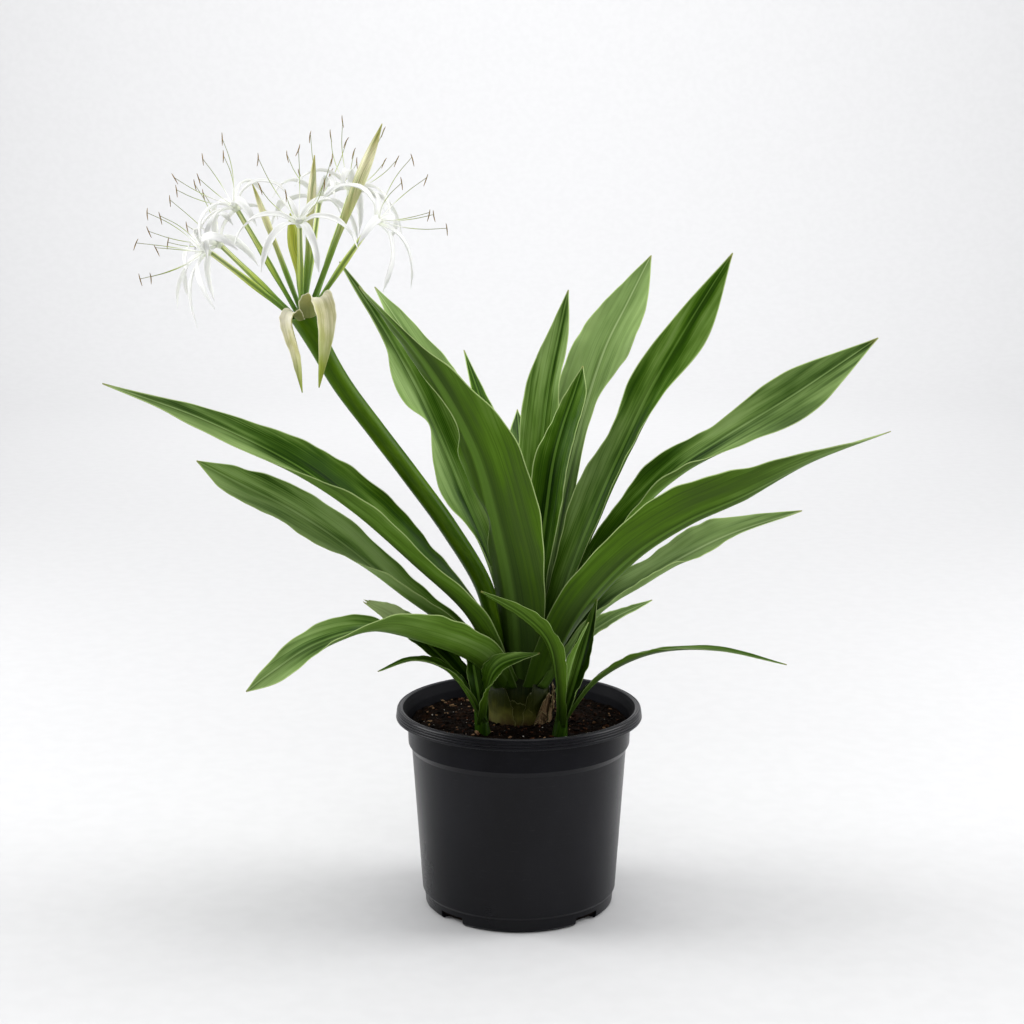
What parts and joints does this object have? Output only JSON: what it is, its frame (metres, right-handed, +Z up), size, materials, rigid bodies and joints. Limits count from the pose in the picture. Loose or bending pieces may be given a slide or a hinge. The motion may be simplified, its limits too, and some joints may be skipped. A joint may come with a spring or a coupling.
{
  "type": "potted crinum lily",
  "caption": "Flowering spider-type crinum lily in a black nursery pot: long arching strap leaves, a thick leaning stalk and an umbel of narrow white blooms.",
  "frame": {"origin": "centre of the pot's flat base, on the plane that it stands on", "axes": "+Z up out of the pot, +X to the right as the plant is seen from its front, -Y towards the viewer; the stalk leans to -X"},
  "size_m": [0.7566, 0.5032, 0.7984],
  "materials": {
    "pot_plastic": "matte black, slightly satin",
    "potting_mix": "damp dark bark and peat mix",
    "neck_skin": "pale green sheath skin with papery brown remnants",
    "leaf_green": "satin green leaf with fine parallel veins",
    "pup_green": "satin green young leaf",
    "scape_green": "satin green stalk",
    "bract_cream": "withered cream bract with olive veins",
    "tube_green": "satin yellow-green flower tube and bud",
    "petal_white": "soft white petal with brown anthers"
  },
  "bodies": {
    "root": {"pot": "pot_plastic", "soil": "potting_mix", "bulb_neck": "neck_skin", "scape": "scape_green", "leaf_left_low": "leaf_green", "leaf_right_short": "leaf_green", "leaf_left_mid": "leaf_green", "leaf_right_low": "leaf_green", "leaf_right_front": "leaf_green", "leaf_left_high": "leaf_green", "leaf_right_high": "leaf_green", "leaf_front_broad": "leaf_green", "leaf_right_steep": "leaf_green", "leaf_back_right": "leaf_green", "leaf_left_back": "leaf_green", "leaf_back_low": "leaf_green", "leaf_left_steep": "leaf_green", "leaf_back_narrow": "leaf_green", "leaf_back_upright": "leaf_green", "leaf_centre": "leaf_green", "pup_left": "pup_green", "pup_right": "pup_green", "bract_right": "bract_cream", "bract_left": "bract_cream", "tube_1": "tube_green", "tube_2": "tube_green", "tube_3": "tube_green", "tube_4": "tube_green", "tube_5": "tube_green", "tube_6": "tube_green", "tube_7": "tube_green", "bud_1": "tube_green", "bud_2": "tube_green", "bud_3": "tube_green", "bud_4": "tube_green", "bloom_1": "petal_white", "bloom_2": "petal_white", "bloom_3": "petal_white", "bloom_4": "petal_white", "bloom_5": "petal_white", "bloom_6": "petal_white", "bloom_7": "petal_white"}
  },
  "joints": []
}
